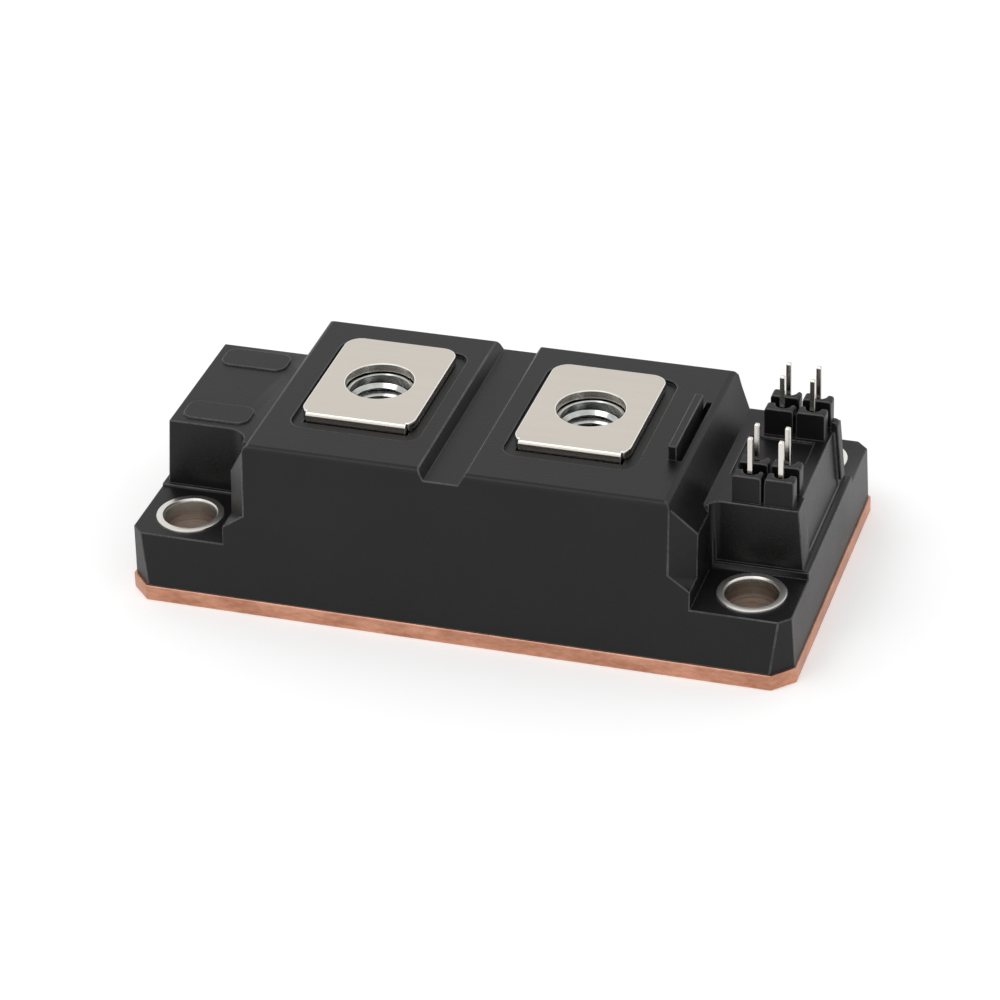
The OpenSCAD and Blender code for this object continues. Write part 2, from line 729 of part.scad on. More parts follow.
module housing() {
    color(black) {
        difference() {
            union() {
                housing_foot();
                tall_block();
                left_block();
                pin_block();
            }
            difference() {
                cavity();
                nut_wells();
            }
            for (x = [left_terminal_x, right_terminal_x])
                translate([x, terminal_y, 0]) terminal_cuts();
            latch_slot();
            for (p = pin_spots) translate([p.x, p.y, 0])
                block([-pin_t / 2 - pin_clear, -pin_t / 2 - pin_clear, plate_t - over],
                      [pin_t / 2 + pin_clear, pin_t / 2 + pin_clear, pin_block_z + over]);
            at_holes() {
                cylinder(h = ear_z + over, d = sleeve_d + 2 * sleeve_gap);
                translate([0, 0, ear_z + flange_proud - flange_t])
                    cylinder(h = flange_t + over, d = flange_d + 2 * sleeve_gap);
            }
            translate([0, 0, plate_t - over]) linear_extrude(bead_h + over) bead_outline();
        }
        latch_rib();
    }
}

// ---- adhesive and gel ----

// Ring in the housing's foot
module bead_outline() {
    l = plate_l - 2 * (seat_inset + bead_inset);
    w = plate_w - 2 * (seat_inset + bead_inset);
    difference() {
        cut_rectangle(l, w, plate_chamfer);
        cut_rectangle(l - 2 * bead_w, w - 2 * bead_w, plate_chamfer);
    }
}

module adhesive_bead() {
    color("dimgray") translate([0, 0, plate_t]) linear_extrude(bead_h) bead_outline();
}

// Gel in the lower part of the inner space, clear of the circuits and their wires
module silicone_gel() {
    color(gel_clear) difference() {
        intersection() {
            cavity();
            block([-plate_l, -plate_w, plate_t], [plate_l, plate_w, gel_z]);
        }
        block([-sub_x - sub_l / 2, -sub_w / 2, plate_t - over],
              [sub_x + sub_l / 2, sub_w / 2, wire_top]);
        block([control_x0, -control_w / 2, plate_t - over], [control_x1, max(pin_ys), track_top + 2 * pin_t]);
        // room for the long loops of the control wires
        block([sub_x + track_x - 2 * link_reach, 0, track_top], [bond_pad_x + over, cavity_front, gel_z + over]);
        for (x = [left_terminal_x, right_terminal_x])
            block([x - tongue_w / 2, tongue_y, track_top], [x + tongue_w / 2, tongue_y + terminal_t, gel_z + over]);
        for (p = pin_spots)
            block([p.x - pin_t / 2, p.y - pin_t / 2, plate_t - over], [p.x + pin_t / 2, p.y + pin_t / 2, gel_z + over]);
        nut_wells();
    }
}

// ---- terminals and nuts ----

// Flat with the screw hole, seen from above
module terminal_flat() {
    front_y = bend_r + corner_step - terminal_front;
    corner = [terminal_w / 2, front_y];
    difference() {
        intersection() {
            translate([0, (terminal_back - terminal_front) / 2])
                round_rectangle(terminal_w, terminal_front + terminal_back, terminal_corner_r);
            translate([-terminal_w / 2, front_y])
                square([terminal_w, terminal_front + terminal_back]);
        }
        for (s = [0, 1]) mirror([s, 0]) round_off(corner, [0, front_y], [terminal_w / 2, 0], front_corner_r);
        circle(d = terminal_hole_d);
    }
}

// Tongue from the side: it is bent down at the terminal's front, and forward again
// in a foot on the substrate
module tongue_side() {
    face_y = -terminal_front;
    back_y = terminal_t - terminal_front;
    toe_y = back_y - foot_l;
    top = [face_y, terminal_top];
    heel = [back_y, track_top];
    difference() {
        polygon([top, [back_y, terminal_top], heel, [toe_y, track_top],
                 [toe_y, track_top + terminal_t], [face_y, track_top + terminal_t]]);
        round_off(top, [back_y, terminal_top], [face_y, track_top], bend_r);
        round_off(heel, [back_y, terminal_top], [toe_y, track_top], bend_r);
    }
}

module power_terminal(x) {
    color(nickel) translate([x, terminal_y, 0]) {
        translate([0, 0, terminal_top - terminal_t]) linear_extrude(terminal_t) terminal_flat();
        along_x(-tongue_w / 2, tongue_w / 2) tongue_side();
    }
}

module terminal_nut(x) {
    sink = (nut_sink_d - nut_bore_d) / 2;
    color(nickel) translate([x, terminal_y, nut_z]) difference() {
        cylinder(h = nut_h, r = nut_af / 2 / cos(30), $fn = 6);
        translate([0, 0, -over]) cylinder(h = nut_h + 2 * over, d = nut_bore_d);
        translate([0, 0, nut_h - sink]) cylinder(h = sink, d1 = nut_bore_d, d2 = nut_sink_d);
        cylinder(h = sink, d1 = nut_sink_d, d2 = nut_bore_d);
    }
}

// ---- mounting sleeves ----

// Flanged sleeve from the base plate to the ear, turned in one piece
module sleeve(sx, sy) {
    top = ear_z + flange_proud;
    lip = 0.2;
    color(nickel) translate([sx * hole_x, sy * hole_y, 0])
        rotate_extrude() polygon([
            [bore_d / 2, plate_t], [sleeve_d / 2, plate_t], [sleeve_d / 2, top - flange_t],
            [flange_d / 2, top - flange_t], [flange_d / 2, top - lip], [flange_d / 2 - lip, top],
            [bore_d / 2 + lip, top], [bore_d / 2, top - lip]]);
}

// ---- control pins ----

// Square pin with a blunt point on top and a solder foot turned to the middle
module control_pin(i) {
    p = pin_spots[i];
    side = p.y < 0 ? 0 : 1;
    pin_tip_z = p.y < 0 ? front_tip_z : back_tip_z;
    tip = pin_t / 2;
    heel = 2 * pin_t;
    color(nickel) translate([p.x, p.y, 0]) mirror([0, side, 0]) {
        block([-pin_t / 2, -pin_t / 2, track_top + heel], [pin_t / 2, pin_t / 2, pin_tip_z - tip]);
        // point, rounded both ways
        intersection() {
            block([-pin_t / 2, -pin_t / 2, pin_tip_z - tip - pin_t / 4], [pin_t / 2, pin_t / 2, pin_tip_z]);
            translate([0, 0, pin_tip_z - tip]) rotate([90, 0, 0]) cylinder(h = 2 * pin_t, r = tip, center = true);
            translate([0, 0, pin_tip_z - tip]) rotate([0, 90, 0]) cylinder(h = 2 * pin_t, r = tip, center = true);
        }
        // heel bent about a radius of one thickness, and the foot
        translate([-pin_t / 2, 1.5 * pin_t, track_top + heel]) rotate([0, 90, 0]) rotate([0, 0, 270])
            rotate_extrude(angle = 90) translate([pin_t, 0]) square(pin_t);
        block([-pin_t / 2, 1.5 * pin_t, track_top], [pin_t / 2, 1.5 * pin_t + pin_foot_l - pin_t, track_top + pin_t]);
    }
}

// ---- substrates ----

// One even layer of a main substrate, inset by margin
module main_layer(side, z, t, margin) {
    translate([side * sub_x, 0, z + t / 2])
        cube([sub_l - 2 * margin, sub_w - 2 * margin, t], center = true);
}

module substrate_solder(side) { color(solder_grey) main_layer(side, plate_t, solder_t, copper_margin); }
module substrate_backing(side) { color(copper) main_layer(side, backing_z, copper_t, copper_margin); }
module ceramic(side) { color(ceramic_white) main_layer(side, ceramic_z, ceramic_t, 0); }

// One track of a main substrate
module track(x0, y0, x1, y1) {
    block([x0, y0, track_z], [x1, y1, track_top]);
}

// Both substrates have a foot pad in front and the signal tracks at the back. The
// left foot pad is the emitter's, and the right one joins the collector by a neck.
module tracks(side) {
    color(copper) translate([side * sub_x, 0, 0]) {
        track(-track_x, gate_y0, track_x, gate_y1);
        track(-track_x, sense_y0, track_x, sense_y1);
        track(-track_x, collector_y0, track_x, collector_y1);
        if (side < 0) {
            track(-track_x, pad_y0, track_x, emitter_y1);
        } else {
            track(-track_x, pad_y0, track_x, pad_y1);
            track(-track_x, emitter_y0, track_x - neck_w - track_gap, emitter_y1);
            track(track_x - neck_w, pad_y0, track_x, collector_y1);
        }
    }
}

// Square chips of side a, in two columns
module chip_pair(side, a, y, z, t) {
    for (s = [-1, 1])
        translate([side * sub_x + s * chip_pitch / 2 - a / 2, y - a / 2, z]) cube([a, a, t]);
}

module chip_solder(side) {
    color(solder_grey) {
        chip_pair(side, diode_a, diode_y, track_top, chip_solder_t);
        chip_pair(side, igbt_a, igbt_y, track_top, chip_solder_t);
    }
}
module igbt_chips(side) { color(silicon_grey) chip_pair(side, igbt_a, igbt_y, chip_z, chip_t); }
module diode_chips(side) { color(silicon_grey) chip_pair(side, diode_a, diode_y, chip_z, chip_t); }

// ---- bond wires ----

// Wire loop from p to q, with a flattened foot on the surfaces at zp and zq
module wire(p, q, zp, zq) {
    d = q - p;
    mid = (p + q) / 2;
    z = max(zp, zq) + wire_foot_t;
    translate([mid.x, mid.y, 0]) rotate([0, 0, atan2(d.y, d.x)]) {
        translate([0, 0, z]) rotate([90, 0, 0])
            rotate_extrude(angle = 180) translate([norm(d) / 2, 0]) circle(wire_r, $fn = 24);
        wire_foot(-norm(d) / 2, zp, z);
        wire_foot(norm(d) / 2, zq, z);
    }
}

module wire_foot(x, z0, z1) {
    block([x - wire_foot_l / 2, -wire_foot_w / 2, z0], [x + wire_foot_l / 2, wire_foot_w / 2, z1]);
}

module bond_wires(side) {
    emitter_y = (emitter_y0 + emitter_y1) / 2;
    color("gainsboro") for (s = [-1, 1]) {
        x = side * sub_x + s * chip_pitch / 2;
        for (i = [0 : wires_per_chip - 1]) {
            wx = x + (i - (wires_per_chip - 1) / 2) * wire_pitch;
            wire([wx, emitter_y], [wx, diode_y - diode_a / 5], track_top, chip_top);
            wire([wx, diode_y + diode_a / 5], [wx, igbt_y - igbt_a / 5], chip_top, chip_top);
        }
        wire([x - wire_pitch / 2, (gate_y0 + gate_y1) / 2], [x - wire_pitch / 2, igbt_y + igbt_a / 3],
             track_top, chip_top);
        wire([x + wire_pitch / 2, (sense_y0 + sense_y1) / 2], [x + wire_pitch / 2, igbt_y + igbt_a / 5],
             track_top, chip_top);
    }
}

// Loops across the gap between the two main substrates
module link_wires() {
    reach = sub_gap / 2 + copper_margin + link_reach / 2;
    room = (collector_y1 - collector_y0) / 6;
    rows = concat([for (i = [-1, 1]) (emitter_y0 + emitter_y1) / 2 + i * emitter_d / 4],
                  [for (i = [1 : 5]) collector_y0 + i * room],
                  [(gate_y0 + gate_y1) / 2, (sense_y0 + sense_y1) / 2]);
    color("gainsboro") for (y = rows) wire([-reach, y], [reach, y], track_top, track_top);
}

// ---- control substrate ----

module control_layer(z, t, margin) {
    block([control_x0 + margin, margin - control_w / 2, z], [control_x1 - margin, control_w / 2 - margin, z + t]);
}

module control_solder() { color(solder_grey) control_layer(plate_t, solder_t, copper_margin); }
module control_backing() { color(copper) control_layer(backing_z, copper_t, copper_margin); }
module control_ceramic() { color(ceramic_white) control_layer(ceramic_z, ceramic_t, 0); }

// One pad under each pin's foot, and two for the bond wires
module control_pads() {
    color(copper) {
        for (p = pin_spots) {
            toward = p.y < 0 ? 1 : -1;
            y = p.y + toward * (pin_t / 2 + pin_foot_l / 2 + pin_t / 2);
            block([p.x - pin_pad_l / 2, y - pin_foot_l / 2, track_z],
                  [p.x + pin_pad_l / 2, y + pin_foot_l / 2, track_top]);
        }
        for (y = [sense_bond_y, gate_bond_y])
            block([bond_pad_x - 0.6, y - 0.8, track_z], [bond_pad_x + 0.8, y + 0.8, track_top]);
    }
}

// Long loops from the right substrate's signal tracks
module control_wires() {
    x = sub_x + track_x - 0.6;
    color("gainsboro") {
        wire([x, (gate_y0 + gate_y1) / 2], [bond_pad_x, gate_bond_y], track_top, track_top);
        wire([x, (sense_y0 + sense_y1) / 2], [bond_pad_x, sense_bond_y], track_top, track_top);
    }
}

// ---- parts ----

base_plate();
housing();
adhesive_bead();
silicone_gel();
power_terminal(left_terminal_x);  // left_terminal
power_terminal(right_terminal_x);  // right_terminal
terminal_nut(left_terminal_x);  // left_terminal_nut
terminal_nut(right_terminal_x);  // right_terminal_nut
sleeve(-1, -1);  // sleeve_front_left
sleeve(1, -1);  // sleeve_front_right
sleeve(-1, 1);  // sleeve_back_left
sleeve(1, 1);  // sleeve_back_right
control_pin(0);  // control_pin_1
control_pin(1);  // control_pin_2
control_pin(2);  // control_pin_3
control_pin(3);  // control_pin_4
control_pin(4);  // control_pin_5
control_pin(5);  // control_pin_6
control_pin(6);  // control_pin_7
control_pin(7);  // control_pin_8
substrate_solder(-1);  // left_substrate_solder
substrate_solder(1);  // right_substrate_solder
substrate_backing(-1);  // left_substrate_backing
substrate_backing(1);  // right_substrate_backing
ceramic(-1);  // left_ceramic
ceramic(1);  // right_ceramic
tracks(-1);  // left_tracks
tracks(1);  // right_tracks
chip_solder(-1);  // left_chip_solder
chip_solder(1);  // right_chip_solder
igbt_chips(-1);  // left_igbt_chips
igbt_chips(1);  // right_igbt_chips
diode_chips(-1);  // left_diode_chips
diode_chips(1);  // right_diode_chips
bond_wires(-1);  // left_bond_wires
bond_wires(1);  // right_bond_wires
link_wires();
control_solder();
control_backing();
control_ceramic();
control_pads();
control_wires();
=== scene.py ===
import json
import math

import bmesh
import bpy
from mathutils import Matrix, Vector
from mathutils.bvhtree import BVHTree


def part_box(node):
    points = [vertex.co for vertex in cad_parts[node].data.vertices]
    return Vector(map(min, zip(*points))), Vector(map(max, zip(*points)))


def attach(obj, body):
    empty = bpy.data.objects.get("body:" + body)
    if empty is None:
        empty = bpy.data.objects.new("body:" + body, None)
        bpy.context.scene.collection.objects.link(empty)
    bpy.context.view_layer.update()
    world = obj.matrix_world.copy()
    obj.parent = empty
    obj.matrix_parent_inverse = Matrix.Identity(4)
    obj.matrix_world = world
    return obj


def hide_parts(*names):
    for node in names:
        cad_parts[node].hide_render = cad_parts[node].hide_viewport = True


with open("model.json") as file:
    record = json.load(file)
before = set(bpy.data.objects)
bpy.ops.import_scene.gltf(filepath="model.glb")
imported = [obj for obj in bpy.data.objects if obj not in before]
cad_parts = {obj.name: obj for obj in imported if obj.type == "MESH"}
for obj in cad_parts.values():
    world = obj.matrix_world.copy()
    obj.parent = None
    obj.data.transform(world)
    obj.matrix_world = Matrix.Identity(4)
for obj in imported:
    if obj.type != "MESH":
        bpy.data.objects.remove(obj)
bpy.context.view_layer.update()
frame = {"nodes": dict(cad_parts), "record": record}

mm = 0.001
mergeDistance = 0.002 * mm
nodes = frame["nodes"]
print("frame loaded:", len(nodes), "nodes")

def middleOf(nodeName):
    low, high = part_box(nodeName)
    return (low[0] + high[0]) / 2 / mm, (low[1] + high[1]) / 2 / mm


def deselectAll():
    if bpy.context.object and bpy.context.object.mode != "OBJECT":
        bpy.ops.object.mode_set(mode="OBJECT")
    bpy.ops.object.select_all(action="DESELECT")


def makeActive(piece):
    deselectAll()
    piece.select_set(True)
    bpy.context.view_layer.objects.active = piece


def applyPlace(piece):
    makeActive(piece)
    bpy.ops.object.transform_apply(location=True, rotation=True, scale=True)


def applyModifiers(piece):
    makeActive(piece)
    for modifier in list(piece.modifiers):
        bpy.ops.object.modifier_apply(modifier=modifier.name)


def smoothByAngle(piece, degrees=32):
    makeActive(piece)
    bpy.ops.object.shade_smooth_by_angle(angle=math.radians(degrees))


def weightNormals(piece):
    weighted = piece.modifiers.new("evenShading", "WEIGHTED_NORMAL")
    weighted.keep_sharp = True
    weighted.weight = 60
    applyModifiers(piece)


def copyNode(nodeName, pieceName):
    # a joined copy of a CAD node, with flat areas back to single faces
    source = nodes[nodeName]
    piece = bpy.data.objects.new(pieceName, source.data.copy())
    bpy.context.scene.collection.objects.link(piece)
    makeActive(piece)
    bpy.ops.object.mode_set(mode="EDIT")
    bpy.ops.mesh.select_all(action="SELECT")
    bpy.ops.mesh.remove_doubles(threshold=mergeDistance)
    bpy.ops.mesh.dissolve_limited(angle_limit=math.radians(0.6))
    bpy.ops.object.mode_set(mode="OBJECT")
    return piece


def chooseOuterEdges(piece, minDegrees, keep):
    # marks the convex outer edges that keep() accepts, for a bevel by weight
    mesh = bmesh.new()
    mesh.from_mesh(piece.data)
    mesh.normal_update()
    tree = BVHTree.FromBMesh(mesh)
    layers = mesh.edges.layers.float
    weights = layers.get("bevel_weight_edge") or layers.new("bevel_weight_edge")
    count = 0
    for edge in mesh.edges:
        if len(edge.link_faces) != 2 or not edge.is_convex:
            continue
        if math.degrees(edge.calc_face_angle()) < minDegrees:
            continue
        middle = (edge.verts[0].co + edge.verts[1].co) / 2
        if not keep(middle / mm):
            continue
        outward = (edge.link_faces[0].normal + edge.link_faces[1].normal).normalized()
        if tree.ray_cast(middle + outward * 0.02 * mm, outward, 0.1)[0] is not None:
            continue
        edge[weights] = 1.0
        count += 1
    mesh.to_mesh(piece.data)
    mesh.free()
    return count


def roundEdges(piece, width, minDegrees=28, segments=3, keep=lambda middle: True,
               edgeHighlightMaterial=None):
    count = chooseOuterEdges(piece, minDegrees, keep)
    bevel = piece.modifiers.new("softEdges", "BEVEL")
    bevel.limit_method = "WEIGHT"
    bevel.width = width * mm
    bevel.segments = segments
    bevel.use_clamp_overlap = False
    bevel.miter_outer = "MITER_ARC"
    # the bevel faces take the given lighter material: a painted highlight along the rounded edges
    if edgeHighlightMaterial:
        piece.data.materials.append(edgeHighlightMaterial)
        bevel.material = len(piece.data.materials) - 1
    applyModifiers(piece)
    smoothByAngle(piece)
    weightNormals(piece)
    return count


def addPiece(piece, slotName, *replaced):
    if piece.data.materials:
        piece.data.materials[0] = finishMaterials[slotName]
    else:
        piece.data.materials.append(finishMaterials[slotName])
    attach(piece, "root")
    if replaced:
        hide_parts(*replaced)


def ringPiece(name, profile, centre, steps):
    # a closed profile in radius and height, turned once round the upright axis at centre
    deselectAll()
    bpy.ops.mesh.primitive_circle_add(vertices=len(profile), radius=1 * mm, location=(0, 0, 0))
    piece = bpy.context.object
    piece.name = name
    for vertex, (radius, height) in zip(piece.data.vertices, profile):
        vertex.co = Vector((centre[0] + radius, centre[1], height)) * mm
    bpy.ops.object.mode_set(mode="EDIT")
    bpy.ops.mesh.select_all(action="SELECT")
    bpy.ops.mesh.spin(steps=steps, angle=2 * math.pi, axis=(0, 0, 1),
                      center=(centre[0] * mm, centre[1] * mm, 0))
    bpy.ops.mesh.select_all(action="SELECT")
    bpy.ops.mesh.remove_doubles(threshold=mergeDistance)
    bpy.ops.mesh.normals_make_consistent(inside=False)
    bpy.ops.object.mode_set(mode="OBJECT")
    return piece


def newGroup(name, inputs, outputs):
    group = bpy.data.node_groups.new(name, "ShaderNodeTree")
    for socketName, kind, value in inputs:
        socket = group.interface.new_socket(socketName, in_out="INPUT", socket_type=kind)
        if value is not None:
            socket.default_value = value
    for socketName, kind in outputs:
        group.interface.new_socket(socketName, in_out="OUTPUT", socket_type=kind)
    return group, group.nodes.new("NodeGroupInput"), group.nodes.new("NodeGroupOutput")


def mathNode(group, operation, first, second=None):
    node = group.nodes.new("ShaderNodeMath")
    node.operation = operation
    for index, value in enumerate((first, second)):
        if value is None:
            continue
        if isinstance(value, (int, float)):
            node.inputs[index].default_value = value
        else:
            group.links.new(value, node.inputs[index])
    return node.outputs[0]


def colourMix(group, mask, first, second):
    node = group.nodes.new("ShaderNodeMix")
    node.data_type = "RGBA"
    group.links.new(mask, node.inputs["Factor"])
    group.links.new(first, node.inputs["A"])
    group.links.new(second, node.inputs["B"])
    return node.outputs["Result"]


def rangeNode(group, value, low, high, outLow, outHigh):
    node = group.nodes.new("ShaderNodeMapRange")
    for key, item in (("Value", value), ("From Min", low), ("From Max", high),
                      ("To Min", outLow), ("To Max", outHigh)):
        if isinstance(item, (int, float)):
            node.inputs[key].default_value = item
        else:
            group.links.new(item, node.inputs[key])
    return node.outputs[0]


# shares of the two noises, the part of their sum that the tones spread over, and the turn of
# a normal at which an edge starts and is full
toneLook = {"patchShare": 0.7, "speckleShare": 0.3, "spread": (0.38, 0.62),
            "edgeTurn": (0.995, 0.86), "breakUp": (0.3, 0.6, 0.45, 1.0)}


def makeToneHighlightGroup():
    # two tones in soft patches, with a fine speckle, and rounded edges painted in a third colour as
    # a painted highlight, broken up by the patches
    group, source, result = newGroup(
        "toneAndPaintedHighlight",
        [("Vector", "NodeSocketVector", None), ("Patch Scale", "NodeSocketFloat", 120.0),
         ("Speckle Scale", "NodeSocketFloat", 1500.0),
         ("Dark", "NodeSocketColor", (0.1, 0.1, 0.1, 1)),
         ("Light", "NodeSocketColor", (0.2, 0.2, 0.2, 1)),
         ("Edge", "NodeSocketColor", (0.3, 0.3, 0.3, 1)),
         ("Edge Width", "NodeSocketFloat", 0.0004), ("Edge Amount", "NodeSocketFloat", 0.5),
         ("Rough Low", "NodeSocketFloat", 0.3), ("Rough High", "NodeSocketFloat", 0.5)],
        [("Colour", "NodeSocketColor"), ("Roughness", "NodeSocketFloat"),
         ("Edge Mask", "NodeSocketFloat")])
    patches = group.nodes.new("ShaderNodeTexNoise")
    patches.inputs["Detail"].default_value = 5
    patches.inputs["Roughness"].default_value = 0.6
    speckle = group.nodes.new("ShaderNodeTexNoise")
    speckle.inputs["Detail"].default_value = 2
    for noise, key in ((patches, "Patch Scale"), (speckle, "Speckle Scale")):
        group.links.new(source.outputs["Vector"], noise.inputs["Vector"])
        group.links.new(source.outputs[key], noise.inputs["Scale"])
    patchPart = mathNode(group, "MULTIPLY", patches.outputs["Fac"], toneLook["patchShare"])
    specklePart = mathNode(group, "MULTIPLY", speckle.outputs["Fac"], toneLook["speckleShare"])
    blend = mathNode(group, "ADD", patchPart, specklePart)
    mask = rangeNode(group, blend, *toneLook["spread"], 0.0, 1.0)
    # painted edge highlight: edges are where the normal of a rounded copy differs from the
    # surface's own
    bevelled = group.nodes.new("ShaderNodeBevel")
    bevelled.samples = 6
    group.links.new(source.outputs["Edge Width"], bevelled.inputs["Radius"])
    geometry = group.nodes.new("ShaderNodeNewGeometry")
    turn = group.nodes.new("ShaderNodeVectorMath")
    turn.operation = "DOT_PRODUCT"
    group.links.new(bevelled.outputs["Normal"], turn.inputs[0])
    group.links.new(geometry.outputs["Normal"], turn.inputs[1])
    edge = rangeNode(group, turn.outputs["Value"], *toneLook["edgeTurn"], 0.0, 1.0)
    breakUp = rangeNode(group, patches.outputs["Fac"], *toneLook["breakUp"])
    broken = mathNode(group, "MULTIPLY", edge, breakUp)
    paintedHighlightMask = mathNode(group, "MULTIPLY", broken, source.outputs["Edge Amount"])
    tone = colourMix(group, mask, source.outputs["Dark"], source.outputs["Light"])
    # the Edge colour is mixed in along the rounded edges as a painted highlight
    group.links.new(colourMix(group, paintedHighlightMask, tone, source.outputs["Edge"]), result.inputs["Colour"])
    rough = rangeNode(group, blend, *toneLook["spread"],
                      source.outputs["Rough Low"], source.outputs["Rough High"])
    group.links.new(rough, result.inputs["Roughness"])
    group.links.new(paintedHighlightMask, result.inputs["Edge Mask"])
    return group


def makeGrainGroup():
    # fine relief from noise, as a normal
    group, source, result = newGroup(
        "fineRelief",
        [("Vector", "NodeSocketVector", None), ("Scale", "NodeSocketFloat", 2500.0),
         ("Depth", "NodeSocketFloat", 0.00002), ("Strength", "NodeSocketFloat", 0.4)],
        [("Normal", "NodeSocketVector"), ("Height", "NodeSocketFloat")])
    noise = group.nodes.new("ShaderNodeTexNoise")
    noise.inputs["Detail"].default_value = 3
    group.links.new(source.outputs["Vector"], noise.inputs["Vector"])
    group.links.new(source.outputs["Scale"], noise.inputs["Scale"])
    bump = group.nodes.new("ShaderNodeBump")
    group.links.new(source.outputs["Strength"], bump.inputs["Strength"])
    group.links.new(source.outputs["Depth"], bump.inputs["Distance"])
    group.links.new(noise.outputs["Fac"], bump.inputs["Height"])
    group.links.new(bump.outputs["Normal"], result.inputs["Normal"])
    group.links.new(noise.outputs["Fac"], result.inputs["Height"])
    return group


toneHighlightGroup = makeToneHighlightGroup()
grainGroup = makeGrainGroup()
